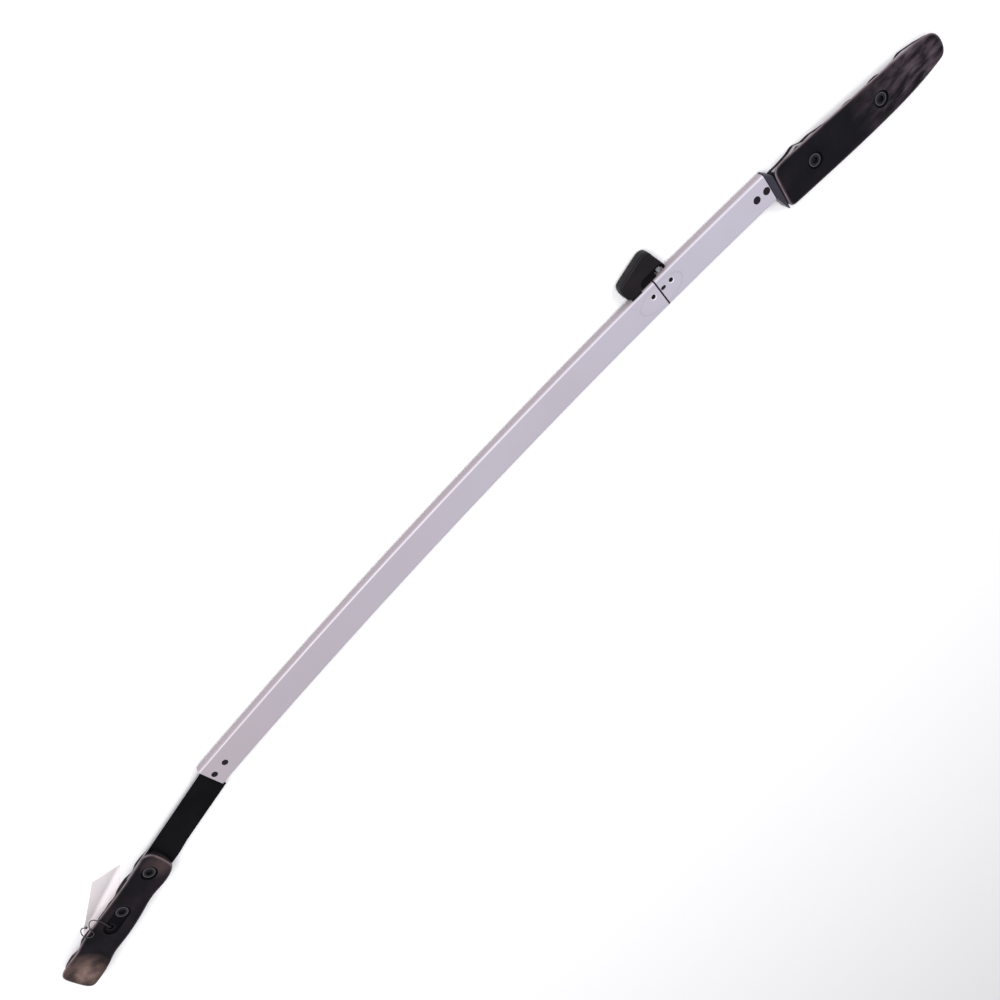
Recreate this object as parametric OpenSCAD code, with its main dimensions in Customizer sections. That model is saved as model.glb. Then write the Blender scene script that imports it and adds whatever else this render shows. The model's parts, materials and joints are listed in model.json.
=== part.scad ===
// Telescoping pole saw, stowed: a bowed box-section pole in two sections, with a
// pull-out curved blade in the lower end, a bolted grip on each end and a cam clamp.
// The saw lies on the back of its grips, wide face up. +X runs along the pole to the
// upper grip, +Y is the outside of the bow, +Z is up, and the origin is on the floor
// below the middle of the saw's outline.

/* [Pole] */
// Radius of the bow, to the middle of the pole
bow_r = 5560; // [4000:10:9000]
// Width of the pole across its wide face
pole_w = 27; // [26.6:0.1:28]
// Thickness of the pole
pole_t = 9; // [9:0.1:10]
// Wall of the outer tube and of the upper shell
pole_wall = 1; // [0.8:0.1:1.2]
// Outside corner radius of the pole
pole_corner = 2.5; // [1.5:0.1:3]
// Arc position of the outer tube's lower mouth
mouth_at = -328.7; // [-335:0.1:-320]
// Arc position of the outer tube's upper end, at the seam
seam_at = 206.2; // [200:0.1:212]
// Arc position of the upper shell's end, at the collar
shell_end_at = 324.6; // [318:0.1:330]

/* [Inner tube] */
// Width of the inner tube
inner_w = 23.6; // [22.6:0.1:23.8]
// Thickness of the inner tube
inner_t = 5.6; // [5.2:0.1:5.8]
// Wall of the inner tube
inner_wall = 0.8; // [0.6:0.1:0.9]
// Arc position of the inner tube's lower end
inner_from = -297; // [-300:1:-280]
// Arc position of the inner tube's upper end
inner_to = 294; // [280:1:296]

/* [Blade] */
// Thickness of the blade and its tang
blade_t = 2; // [1.4:0.1:2.2]
// Arc length of the blade inside the pole
blade_len = 320; // [250:5:330]
// Distance from one tooth to the next
tooth_pitch = 4; // [3:0.5:6]
// Depth of the teeth
tooth_depth = 3; // [2:0.1:3.4]

/* [Grips] */
// Height of a grip's flat faces above and below the middle plane
grip_half = 8; // [7:0.1:10]
// Thickness of the upper tang
upper_tang_t = 3; // [2:0.1:4]
// Width and depth of the bevel round a grip scale
grip_bevel = 1.6; // [1:0.1:2.5]
// Gap left under the lower grip for the card that it lies on
card_room = 0.4; // [0.3:0.1:0.6]

/* [Clamp] */
// Thickness of the clamp lever
lever_t = 10; // [9:0.5:12]
// Throw of the cam
cam_throw = 1; // [0.5:0.1:1.2]

/* [Hidden] */

// Middle of the saw's outline and its underside, in the bow's own frame, where the
// pole's middle line passes through 0 with its centre of curvature straight below
outline_mid = [-23.45, -16.93];
fit = 0.1;                       // clearance of a guide round what slides in it
seat = 0.05;                     // clearance of a piece seated in another
bow_faces = 256;
round_faces = 64;
small_faces = 32;

pale = "#c6c0cd";
slate = "#55535f";
black_plastic = "#2c292e";
rubber_black = "#26232a";
nylon = "#3a3a3f";
steel = "#b9bcc2";
black_steel = "#161618";

cavity_w = pole_w - 2 * pole_wall;
cavity_t = pole_t - 2 * pole_wall;
cavity_corner = pole_corner - pole_wall;
inner_corner = 1.2;
gasket_t = 1.3;
seam_gap = 0.1;
shell_from = seam_at + seam_gap + gasket_t;

// Bow arithmetic: a is the distance along the bow, w the distance out from it
function bow_deg(a) = a / bow_r * 180 / PI;
function bow_point(a, w) = [(bow_r + w) * sin(bow_deg(a)), (bow_r + w) * cos(bow_deg(a)) - bow_r];

// Sweeps a profile drawn in [w, z] along the bow
module along_bow(from, to) {
    translate([0, -bow_r, 0])
        rotate([0, 0, 90 - bow_deg(to)])
            rotate_extrude(angle = bow_deg(to - from), $fn = bow_faces)
                translate([bow_r, 0]) children();
}

// Puts its children on the bow, with +X along the bow and +Y out of it
module at_bow(a, w = 0, z = 0) {
    translate([0, -bow_r, 0]) rotate([0, 0, -bow_deg(a)]) translate([0, bow_r + w, z]) children();
}

// Box section with round corners, from true arcs
module box_section(w, t, corner) {
    square([w - 2 * corner, t], center = true);
    square([w, t - 2 * corner], center = true);
    for (side = [-1, 1], face = [-1, 1])
        translate([side * (w / 2 - corner), face * (t / 2 - corner)]) circle(corner, $fn = small_faces);
}

module tube_section(w, t, wall, corner) {
    difference() {
        box_section(w, t, corner);
        box_section(w - 2 * wall, t - 2 * wall, corner - wall);
    }
}

// Ring that fills the space between an outer and an inner box section
module sleeve_section(outer_w, outer_t, outer_corner, hole_w, hole_t, hole_corner) {
    difference() {
        box_section(outer_w, outer_t, outer_corner);
        box_section(hole_w, hole_t, hole_corner);
    }
}

module pole_section() tube_section(pole_w, pole_t, pole_wall, pole_corner);

// ---- Fasteners in the pole's wide faces

rivet_head_d = 6.5;
throat_head_d = 5.4;
rivet_shank_d = 3;
seam_hole_d = 4;
seam_hole_w = 3;                 // the seam holes sit this far outside the middle line
seam_hole_bevel = 0.5;
bush_screw_at = seam_at - 6.4;
spacer_screw_at = seam_at + 12.7;
slot_d = 3.2;
slot_reach = 0.8;                // half of the distance between the slot's two ends
slot_land = 0.4;                 // wall left between the slot and the shell's end
slot_screw_at = shell_from + slot_land + slot_reach + slot_d / 2;
throat_rivets_at = [mouth_at + 4.6, mouth_at + 18];
collar_rivets_at = [shell_end_at - 3.6, shell_end_at - 14];

// Puts its children at the inner side of the pole's wall, on both wide faces
module both_walls(places) {
    for (a = places, face = [-1, 1])
        at_bow(a) rotate([90 - 90 * face, 0, 0]) translate([0, 0, cavity_t / 2]) children();
}

// Hole that reaches depth in from the wall and all the way out
module wall_hole(d, depth) {
    translate([0, 0, -depth]) cylinder(d = d, h = depth + 2 * pole_wall, $fn = round_faces);
}

// A rivet set flush in the wall, with its shank running in
module flush_rivet(depth, head_d = rivet_head_d) {
    cylinder(d = head_d, h = pole_wall, $fn = round_faces);
    translate([0, 0, -depth])
        cylinder(d = rivet_shank_d - 2 * seat, h = depth + pole_wall / 2, $fn = round_faces);
}

// ---- Outer tube

clamp_at = 195;                  // the clamp's own frame stands here on the bow
pad_x = -5;
pad_len = 9;
pad_t = 3.6;

module outer_tube() color(pale) {
    difference() {
        along_bow(mouth_at, seam_at) pole_section();
        both_walls(throat_rivets_at) wall_hole(throat_head_d + 2 * seat, 0.4);
        at_bow(bush_screw_at, seam_hole_w, 0) seam_hole();
        at_bow(clamp_at, 0, 0) translate([pad_x, pole_w / 2, 0])
            cube([pad_len + 2 * fit, 4, pad_t + 2 * fit], center = true);
    }
}

// Countersunk hole down through the upper wall
module seam_hole() {
    translate([0, 0, cavity_t / 2 - 0.4]) cylinder(d = seam_hole_d, h = 2, $fn = round_faces);
    translate([0, 0, pole_t / 2 - seam_hole_bevel])
        cylinder(d1 = seam_hole_d, d2 = seam_hole_d + 4 * seam_hole_bevel, h = 2 * seam_hole_bevel,
                 $fn = round_faces);
}

bush_len = 34;
bush_lip = 0.6;

// Nylon bush in the outer tube's upper mouth, in which the inner tube runs
module mouth_bush() color(nylon) {
    difference() {
        along_bow(seam_at - bush_len, seam_at - bush_lip)
            sleeve_section(cavity_w - 2 * seat, cavity_t - 2 * seat, cavity_corner,
                           inner_w + 2 * fit, inner_t + 2 * fit, inner_corner);
        at_bow(clamp_at, 0, 0) translate([pad_x, pole_w / 2, 0])
            cube([pad_len + 2 * fit, 5, pad_t + 2 * fit], center = true);
        at_bow(bush_screw_at, seam_hole_w, 0) cylinder(d = 3, h = pole_t, $fn = round_faces);
    }
}

// Low screw in the hole below the seam, which pins the bush
module bush_screw() color(black_steel) {
    at_bow(bush_screw_at, seam_hole_w, 0) pin_screw(inner_t / 2 + fit + seat);
}

// Grub screw that stands from height low to just under the wide face, with a socket
module pin_screw(low, d = 3 - 2 * seat) {
    difference() {
        union() {
            translate([0, 0, low]) cylinder(d = d, h = pole_t / 2 - 0.9 - low, $fn = round_faces);
            translate([0, 0, cavity_t / 2 + seat])
                cylinder(d = seam_hole_d - 2 * seat, h = pole_wall - 0.9, $fn = round_faces);
        }
        translate([0, 0, pole_t / 2 - 1.4]) cylinder(d = 1.7, h = 1, $fn = 6);
    }
}

throat_len = 27;

// Nylon liner in the lower mouth, which guides the blade
module throat_liner() color(nylon) {
    difference() {
        along_bow(mouth_at + 0.8, mouth_at + throat_len)
            sleeve_section(cavity_w - 2 * seat, cavity_t - 2 * seat, cavity_corner,
                           blade_h + 1.6, blade_t + 0.8, 0.5);
        both_walls(throat_rivets_at) wall_hole(rivet_shank_d, 1.4);
    }
}

module throat_rivets() color(black_steel) {
    both_walls(throat_rivets_at) flush_rivet(1.3, throat_head_d);
}

// ---- Cam clamp, drawn in its own frame on the outside of the bow

pivot = [-5, 28];
pin_d = 3;
pin_play = 0.05;
cam_r = pivot[1] - cam_throw - 14.6;
lever_floor = pole_w / 2 + 0.7;
lug_t = 3.2;
lug_boss_r = 4;
foot_t = 1.2;

// The cam is the round under the pivot, and the rest is a handle that stands off the pole
module lever_outline() {
    intersection() {
        translate(pivot - [0, cam_throw]) circle(cam_r, $fn = 96);
        polygon([[-11.8, 12], [-13.7, 27], [8, 30], [8, 12]]);
    }
    offset(r = 2.4, $fn = small_faces) offset(delta = -2.4)
        polygon([[2, lever_floor], [28.1, lever_floor], [22.5, 37.4], [17.5, 39.3], [-11.8, 31.5],
                 [-13.8, 27], [-12.9, 19], [2, 18]]);
}

// Lever with a cam end that straddles the bracket's lug
module clamp_lever() color(black_plastic) {
    at_bow(clamp_at) difference() {
        union() {
            linear_extrude(lever_t - 2, center = true) lever_outline();
            linear_extrude(lever_t, center = true) offset(delta = -1) lever_outline();
        }
        lug_slot();
        translate([pivot[0], pivot[1], 0])
            cylinder(d = pin_d + 2 * pin_play, h = lever_t + 1, center = true, $fn = round_faces);
        translate([0, 0, lever_t / 2 - 2.4]) linear_extrude(4) front_recess();
        translate([adjuster_x, 20, 0]) rotate([90, 0, 0])
            cylinder(d = 4 + 2 * seat, h = 20, center = true, $fn = round_faces);
        translate([adjuster_x - 4, 10, -3.6]) cube([8, 10.2, 12]);
    }
}

// Room for the lug while the lever swings from shut to a right angle
module lug_slot() {
    linear_extrude(lug_t + 0.6, center = true) {
        translate(pivot) circle(lug_boss_r + 0.5, $fn = round_faces);
        polygon([[-30, 5], [14, 5], [14, 14], pivot + [3, 3.2], pivot + [-2.75, 3.4], [-30, 14.2]]);
    }
}

// Hollow in the lever's upper face, beside the pole
module front_recess() {
    hull() {
        translate([7, 17]) circle(5, $fn = small_faces);
        translate([21, 17]) circle(6, $fn = small_faces);
    }
}

adjuster_x = 21;
adjuster_z = 0;

// Set screw in the lever that sets how far it closes
module lever_adjuster() color(steel) {
    at_bow(clamp_at) translate([adjuster_x, 0, adjuster_z]) rotate([-90, 0, 0]) difference() {
        translate([0, 0, lever_floor + 0.3]) cylinder(d = 4, h = 13, $fn = round_faces);
        translate([0, 0, lever_floor + 0.2]) cylinder(d = 2.2, h = 2, $fn = 6);
    }
}

module adjuster_nut() color(steel) {
    at_bow(clamp_at) translate([adjuster_x, 0, adjuster_z]) rotate([-90, 0, 0]) difference() {
        translate([0, 0, lever_floor + 2.6]) cylinder(d = 7.6, h = 3, $fn = 6);
        cylinder(d = 4 + 2 * seat, h = 40, $fn = round_faces);
    }
}

// Lug on a foot that is welded to the pole's outer edge
module clamp_bracket() color(black_steel) {
    at_bow(clamp_at) difference() {
        union() {
            linear_extrude(lug_t, center = true) union() {
                translate(pivot) circle(lug_boss_r, $fn = round_faces);
                polygon([[1.2, pole_w / 2], [pivot[0] - 3.1, pivot[1] - 2.5],
                         [pivot[0] + 2.7, pivot[1] + 2.9], [10.6, 17], [10.6, pole_w / 2]]);
            }
            translate([1.2, pole_w / 2, -pole_t / 2 + 2.6]) cube([9.4, foot_t - 0.9, pole_t - 5.2]);
        }
        translate([pivot[0], pivot[1], 0])
            cylinder(d = pin_d, h = lug_t + 1, center = true, $fn = round_faces);
    }
}

module lever_pin() color(black_steel) {
    at_bow(clamp_at) translate([pivot[0], pivot[1], 0])
        cylinder(d = pin_d, h = lever_t - 0.4, center = true, $fn = round_faces);
}

pad_head_t = 0.7;

// Pad that the cam presses through the wall onto the inner tube
module brake_pad() color(nylon) {
    at_bow(clamp_at) translate([pad_x, 0, 0]) {
        translate([-pad_len / 2, inner_w / 2 + fit, -pad_t / 2])
            cube([pad_len, (pole_w - inner_w) / 2 + 0.15, pad_t]);
        translate([-pad_len / 2 - 0.6, pole_w / 2 + 0.15, -lever_t / 2 + 1])
            cube([pad_len + 1.2, pad_head_t, lever_t - 2]);
    }
}

// ---- Inner tube and upper section

module inner_tube() color(steel) {
    difference() {
        along_bow(inner_from, inner_to) tube_section(inner_w, inner_t, inner_wall, inner_corner);
        for (a = [slot_screw_at, spacer_screw_at])
            at_bow(a, seam_hole_w, 0) cylinder(d = 2.2, h = pole_t, $fn = round_faces);
        guide_rivet_rows(2);
    }
}

guide_len = 26;
guide_rivets_at = inner_from + 8;

module guide_rivet_rows(d) {
    for (w = [-6, 6]) at_bow(guide_rivets_at, w, 0) cylinder(d = d, h = pole_t, $fn = round_faces);
}

// Nylon guide round the inner tube's lower end
module slide_guide() color(nylon) {
    difference() {
        along_bow(inner_from, inner_from + guide_len)
            sleeve_section(cavity_w - 2 * fit, cavity_t - 2 * fit, cavity_corner,
                           inner_w + 2 * seat, inner_t + 2 * seat, inner_corner);
        guide_rivet_rows(2);
    }
}

module guide_rivets() color(steel) {
    for (w = [-6, 6]) at_bow(guide_rivets_at, w, inner_t / 2 - inner_wall)
        cylinder(d = 2 - 2 * seat, h = inner_wall + 0.5, $fn = round_faces);
}

module upper_shell() color(pale) {
    difference() {
        along_bow(shell_from, shell_end_at) pole_section();
        both_walls(collar_rivets_at) wall_hole(rivet_head_d + 2 * seat, 0.4);
        at_bow(spacer_screw_at, seam_hole_w, 0) seam_hole();
        at_bow(slot_screw_at, seam_hole_w, cavity_t / 2 - 0.4) seam_slot();
    }
}

// Slot with round ends, cut down through the upper wall
module seam_slot() {
    for (x = [-slot_reach, slot_reach])
        translate([x, 0, 0]) cylinder(d = slot_d, h = 2, $fn = round_faces);
    translate([-slot_reach, -slot_d / 2, 0]) cube([2 * slot_reach, slot_d, 2]);
}

// Nylon sleeve that seats the inner tube in the shell
module shell_spacer() color(nylon) {
    difference() {
        along_bow(shell_from + 0.6, inner_to)
            sleeve_section(cavity_w - 2 * seat, cavity_t - 2 * seat, cavity_corner,
                           inner_w + 2 * seat, inner_t + 2 * seat, inner_corner);
        at_bow(spacer_screw_at, seam_hole_w, 0) cylinder(d = 3, h = pole_t, $fn = round_faces);
        at_bow(slot_screw_at, seam_hole_w, 0) cylinder(d = 2.2, h = pole_t, $fn = round_faces);
    }
}

module seam_gasket() color(black_steel) {
    along_bow(seam_at + seam_gap, shell_from)
        sleeve_section(pole_w + 0.1, pole_t + 0.1, pole_corner, inner_w + 2 * seat, inner_t + 2 * seat,
                       inner_corner);
}

// Screws that pin the spacer and the inner tube in the shell
module seam_set_screws() color(black_steel) {
    at_bow(spacer_screw_at, seam_hole_w, 0) {
        pin_screw(inner_t / 2 + 0.1);
        translate([0, 0, inner_t / 2 - inner_wall]) cylinder(d = 2.2 - 2 * seat, h = 1.2, $fn = round_faces);
    }
    at_bow(slot_screw_at, seam_hole_w, inner_t / 2 - inner_wall)
        cylinder(d = 2.2 - 2 * seat, h = pole_t / 2 - 1 - inner_t / 2 + inner_wall, $fn = round_faces);
}

// ---- Upper grip, drawn in its own frame: +X along the grip away from the pole

upper_grip_at = [330, -17.9];
upper_grip_tilt = -4.5;
upper_bolts_x = [35.3, 105.8];
collar_gasket_t = 0.7;

module at_upper_grip() {
    translate([upper_grip_at[0], upper_grip_at[1], 0]) rotate([0, 0, upper_grip_tilt]) children();
}

module upper_outline() {
    offset(r = 2, $fn = small_faces) offset(delta = -2)
        polygon([[0, -18.7], [0.6, 14], [2, 19.5], [8, 21.3], [21, 21], [60, 20.5], [100, 19.6],
                 [138, 18.6], [156, 17], [165, 15], [170, 9.5], [171.6, 2], [171.2, -5.5],
                 [168, -10.6], [149, -14.6], [130, -17], [110, -18.4], [70, -19.4], [31, -19]]);
}

// The back scale is narrower, with finger grooves between ridges along its outer edge
upper_ridges = [[-5, 13], [12, 13.2], [22, 14.4], [29, 16.8], [37, 13.4], [45, 14], [57, 11.6],
                [85.5, 11], [114, 11], [142, 12.4], [156, 10], [175, 5]];

// Everything up to the line of the ridges, or rise above it
module below_upper_ridges(rise = 0) {
    polygon(concat([[175, -30], [-5, -30]], [for (p = upper_ridges) p + [0, rise]]));
}

module upper_back_outline() {
    difference() {
        intersection() {
            upper_outline();
            below_upper_ridges();
        }
        for (x = [71.25, 99.75, 128]) translate([x, 22.5]) circle(15, $fn = 96);
    }
}

// A grip scale on one side of a tang, bevelled on its outer face
module grip_scale(inner_z, outer_z) {
    translate([0, 0, inner_z]) linear_extrude(outer_z - inner_z - grip_bevel) children();
    translate([0, 0, inner_z]) linear_extrude(outer_z - inner_z) offset(delta = -grip_bevel) children();
}

bolt_hole_d = 8.2;
counterbore_d = 13.6;
counterbore_depth = 1.5;
bolt_head_d = 10.4;
bolt_head_t = 2.6;
bolt_d = 6;
sleeve_nut_d = 8;
hex_key = 5;

// Room for a sleeve nut and a head in a scale whose face is at height face
module bolt_seat(face, head_d = bolt_head_d, bore_d = counterbore_d) {
    cylinder(d = bolt_hole_d, h = face + 1, $fn = round_faces);
    translate([0, 0, face - counterbore_depth]) cylinder(d = bore_d, h = 3, $fn = round_faces);
    translate([0, 0, face - counterbore_depth - bolt_head_t + 0.6])
        cylinder(d = head_d + 2 * seat, h = 5, $fn = round_faces);
}

module upper_front_scale() color(rubber_black) {
    at_upper_grip() difference() {
        grip_scale(upper_tang_t / 2, grip_half) upper_outline();
        for (x = upper_bolts_x) translate([x, 0, 0]) bolt_seat(grip_half);
    }
}

module upper_back_scale() color(rubber_black) {
    at_upper_grip() mirror([0, 0, 1]) difference() {
        grip_scale(upper_tang_t / 2, grip_half) upper_back_outline();
        for (x = upper_bolts_x) translate([x, 0, 0]) bolt_seat(grip_half);
    }
}

tongue_w = 17;
tongue_from = shell_end_at - 22;

// Flat steel tang: the full outline of the grip, and a tongue into the shell
module upper_tang() color(steel) {
    difference() {
        union() {
            at_upper_grip() linear_extrude(upper_tang_t, center = true) intersection() {
                offset(delta = -1.2) upper_outline();
                below_upper_ridges(1.5);
                translate([3.5, -40]) square([200, 80]);
            }
            along_bow(tongue_from, shell_end_at + 4) square([tongue_w, upper_tang_t], center = true);
            at_upper_grip() translate([-3, -6, -upper_tang_t / 2]) cube([12, 14, upper_tang_t]);
        }
        for (x = upper_bolts_x) at_upper_grip() translate([x, 0, 0])
            cylinder(d = bolt_hole_d, h = 10, center = true, $fn = round_faces);
    }
}

// A bolt from the front with a hex socket, its head below the face
module grip_bolt(face) {
    head_top = face - counterbore_depth + 0.6;
    difference() {
        union() {
            translate([0, 0, head_top - bolt_head_t]) cylinder(d = bolt_head_d, h = bolt_head_t, $fn = round_faces);
            translate([0, 0, -face + 3.4]) cylinder(d = bolt_d, h = face - 3.4 + head_top - 1, $fn = round_faces);
        }
        translate([0, 0, head_top - 1.8]) cylinder(d = hex_key / cos(30), h = 3, $fn = 6);
    }
}

// A sleeve nut from the back that the bolt screws into
module grip_nut(face, top, head_d = bolt_head_d) {
    head_low = -face + counterbore_depth - 0.6;
    difference() {
        union() {
            translate([0, 0, head_low]) cylinder(d = head_d, h = bolt_head_t, $fn = round_faces);
            translate([0, 0, head_low + 1]) cylinder(d = sleeve_nut_d, h = top - head_low - 1, $fn = round_faces);
        }
        translate([0, 0, -face + 3.3]) cylinder(d = bolt_d + 2 * seat, h = 3 * face, $fn = round_faces);
        translate([0, 0, head_low - 1]) cylinder(d = hex_key / cos(30), h = 2.4, $fn = 6);
    }
}

nut_top = 3.2;

module upper_grip_bolts() color(black_steel) {
    for (x = upper_bolts_x) at_upper_grip() translate([x, 0, 0]) grip_bolt(grip_half);
}

module upper_grip_nuts() color(black_steel) {
    for (x = upper_bolts_x) at_upper_grip() translate([x, 0, 0]) grip_nut(grip_half, nut_top);
}

module collar_gasket() color(black_steel) {
    along_bow(shell_end_at, shell_end_at + collar_gasket_t)
        sleeve_section(pole_w + 0.1, pole_t + 0.1, pole_corner, tongue_w + 2, upper_tang_t + 2, 1);
}

collar_half = 5.6;

// Bolster that widens from the shell to the grip, with a spigot in the shell
module upper_collar() color(slate) {
    difference() {
        union() {
            hull() {
                along_bow(shell_end_at + collar_gasket_t, shell_end_at + collar_gasket_t + 1)
                    box_section(pole_w, pole_t, pole_corner);
                at_upper_grip() translate([-1, -18.6, -collar_half]) cube([0.9, 34, 2 * collar_half]);
            }
            along_bow(tongue_from - 2, shell_end_at + collar_gasket_t + 1.5)
                box_section(tongue_w + 1.9, upper_tang_t + 1.9, 1);
            along_bow(tongue_from - 2, shell_end_at - 0.1)
                box_section(cavity_w - 2 * seat, cavity_t - 2 * seat, cavity_corner);
        }
        along_bow(tongue_from - 4, shell_end_at + 12)
            square([tongue_w + 2 * seat, upper_tang_t + 2 * seat], center = true);
        at_upper_grip() translate([-3.1, -6.1, -upper_tang_t / 2 - seat]) cube([12, 14.2, upper_tang_t + 2 * seat]);
        both_walls(collar_rivets_at) wall_hole(rivet_shank_d, 1.7);
    }
}

module collar_rivets() color(black_steel) {
    both_walls(collar_rivets_at) flush_rivet(1.6);
}

// ---- Saw: the blade with its tang, and the lower grip, drawn in its own frame with
// +X along the grip away from the pole and +Y towards the inside of the bow

lower_grip_at = [-411.5, -25.4];
lower_grip_tilt = 190.3;
lower_bolts_x = [15, 58.5];
lanyard_x = 76;
lower_half = grip_half - card_room;

module at_lower_grip() {
    translate([lower_grip_at[0], lower_grip_at[1], 0]) rotate([0, 0, lower_grip_tilt]) children();
}

module lower_outline() {
    offset(r = 2, $fn = small_faces) offset(delta = -2)
        polygon([[1, -14.6], [-3.4, -8], [-1.4, 5], [2.5, 15.4], [11, 18.2], [21, 18.2], [34, 16],
                 [43, 16], [55, 17.5], [68, 18.2], [82, 18.2], [100, 16.8], [111, 19], [121, 19.9],
                 [138, 19.4], [140, 13.5], [139, 2.5], [137.4, -8], [135.6, -12], [131, -14.7],
                 [119.5, -15], [106, -14.2], [100, -15.4], [88, -16.4], [68, -15.2], [38, -13.8],
                 [18, -13.8]]);
}

lower_ridges = [[-5, -6], [7, -6.4], [14, -7.8], [43, -8.4], [72, -6.8], [101, -9.4], [130, -8], [145, -6]];

module lower_back_outline() {
    difference() {
        intersection() {
            lower_outline();
            polygon(concat([[145, 30], [-5, 30]], lower_ridges));
        }
        for (x = [28.5, 57.5, 86.5, 115.5]) translate([x, -19.2]) circle(13, $fn = 96);
    }
}

blade_h = 19;
bar_w = [-10, 16.3];              // outer and inner edge of the bar behind the blade
bar_from = -85.4;
tooth_count = floor((blade_len - 34) / tooth_pitch);
tip_at = mouth_at + blade_len;
teeth_from = mouth_at + 28;

// Toothed edge from the mouth end to the tip, on the inside of the bow
function tooth_edge() = [for (i = [0:tooth_count - 1], k = [0, 1])
    bow_point(teeth_from + (i + k * 0.62) * tooth_pitch, -blade_h / 2 + (k == 0 ? tooth_depth : 0))];
// Smooth spine from the tip back to the mouth
function spine_edge() = [for (i = [0:16])
    bow_point(tip_at - 16 - i * (blade_len - 16) / 16, blade_h / 2)];

module blade_outline() {
    polygon(concat(
        [bow_point(mouth_at - 1, -blade_h / 2 + tooth_depth)],
        tooth_edge(),
        [bow_point(tip_at - 2, -blade_h / 2 + 2), bow_point(tip_at, 1)],
        spine_edge(),
        [bow_point(mouth_at - 1, blade_h / 2)]));
}

// Bar between the mouth and the grip, and the tang between the scales
module tang_outline() {
    polygon([[bar_from - 3, bar_w[0]], [bar_from - 3, bar_w[1]], [-20, bar_w[1]], [-6, 17.4],
             [6, 17], [22, 15], [32, 15], [32, bar_w[0] + 0.6]]);
    intersection() {
        offset(delta = -1.4) lower_back_outline();
        translate([-1, -40]) square([200, 80]);
    }
}

module saw_blade() color(black_steel) {
    difference() {
        union() {
            linear_extrude(blade_t, center = true) blade_outline();
            difference() {
                at_lower_grip() linear_extrude(blade_t, center = true) tang_outline();
                at_bow(mouth_at) translate([-0.3, -60, -5]) cube([40, 120, 10]);
            }
        }
        for (x = lower_bolts_x) at_lower_grip() translate([x, 0, 0])
            cylinder(d = bolt_hole_d, h = 10, center = true, $fn = round_faces);
        at_lower_grip() translate([lanyard_x, 0, 0])
            cylinder(d = lanyard_d + 2 * seat, h = 10, center = true, $fn = round_faces);
    }
}

lanyard_d = 7.4;
lanyard_bore = 5;
recess_d = 13;
lower_nut_d = 9.2;                // small heads, because the back scale is narrow at its grooves

// One recess holds the rear bolt's head and the lanyard hole
module rear_recess(face) {
    hull() for (x = [lower_bolts_x[1], lanyard_x]) translate([x, 0, face - counterbore_depth])
        cylinder(d = recess_d, h = 3, $fn = small_faces);
}

module lanyard_hole() translate([lanyard_x, 0, 0]) cylinder(d = lanyard_d + 2 * seat, h = 12, $fn = round_faces);

module lower_front_scale() color(rubber_black) {
    at_lower_grip() difference() {
        grip_scale(blade_t / 2, grip_half) lower_outline();
        for (x = lower_bolts_x) translate([x, 0, 0]) bolt_seat(grip_half);
        lanyard_hole();
        rear_recess(grip_half);
    }
}

module lower_back_scale() color(rubber_black) {
    at_lower_grip() mirror([0, 0, 1]) difference() {
        grip_scale(blade_t / 2, lower_half) lower_back_outline();
        for (x = lower_bolts_x) translate([x, 0, 0]) bolt_seat(lower_half, lower_nut_d, lower_nut_d + 0.8);
        lanyard_hole();
    }
}

module lower_grip_bolts() color(black_steel) {
    for (x = lower_bolts_x) at_lower_grip() translate([x, 0, 0]) lower_bolt();
}

module lower_bolt() {
    head_top = grip_half - counterbore_depth + 0.6;
    difference() {
        union() {
            translate([0, 0, head_top - bolt_head_t]) cylinder(d = bolt_head_d, h = bolt_head_t, $fn = round_faces);
            translate([0, 0, -lower_half + 3.4])
                cylinder(d = bolt_d, h = lower_half - 3.4 + head_top - 1, $fn = round_faces);
        }
        translate([0, 0, head_top - 1.8]) cylinder(d = hex_key / cos(30), h = 3, $fn = 6);
    }
}

module lower_grip_nuts() color(black_steel) {
    for (x = lower_bolts_x) at_lower_grip() translate([x, 0, 0]) grip_nut(lower_half, nut_top, lower_nut_d);
}

module lanyard_tube() color(steel) {
    at_lower_grip() translate([lanyard_x, 0, -lower_half + counterbore_depth]) difference() {
        cylinder(d = lanyard_d, h = grip_half + lower_half - 2 * counterbore_depth, $fn = round_faces);
        translate([0, 0, -1]) cylinder(d = lanyard_bore, h = 20, $fn = round_faces);
    }
}

// ---- Hang tag and its string

card_t = 0.3;
card_size = [78, 28.4];
card_corner = [-457.5, 10.9];
card_tilt = 219;
card_hole = [62.9, 2.6];            // from the corner that sticks out, along and across the card
string_d = 1.2;
string_sides = 8;

module hang_tag() color("white") {
    translate([card_corner[0], card_corner[1], -grip_half]) rotate([0, 0, card_tilt])
        linear_extrude(card_t) difference() {
            square(card_size);
            translate(card_hole) circle(d = 3, $fn = small_faces);
        }
}

string_route = [
    [-486.3, -38.9, 3], [-486.3, -38.7, 5.4], [-486, -38, 7.2], [-485.2, -35, 8.7], [-484.2, -31.2, 8.9],
    [-483.5, -27.4, 8.9], [-483.7, -24.3, 8.8], [-484.8, -21.6, 7.8], [-486.8, -20.4, 5.9],
    [-489.5, -20.3, 4.6], [-492, -20.9, 4.8], [-493.8, -22.2, 6.6], [-494.5, -24, 8.5],
    [-494.8, -26.7, 9.2], [-496, -29, 9.2], [-498.3, -29.6, 9.2], [-500.6, -28.6, 9.2],
    [-502.2, -26.4, 8.8], [-503.4, -24.4, 7], [-504.1, -23.5, 4.2], [-504.7, -23.4, 1],
    [-504.9, -24.2, -2.2], [-504.9, -26.7, -5.2], [-504.9, -30.6, -6.9]
];

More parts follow.
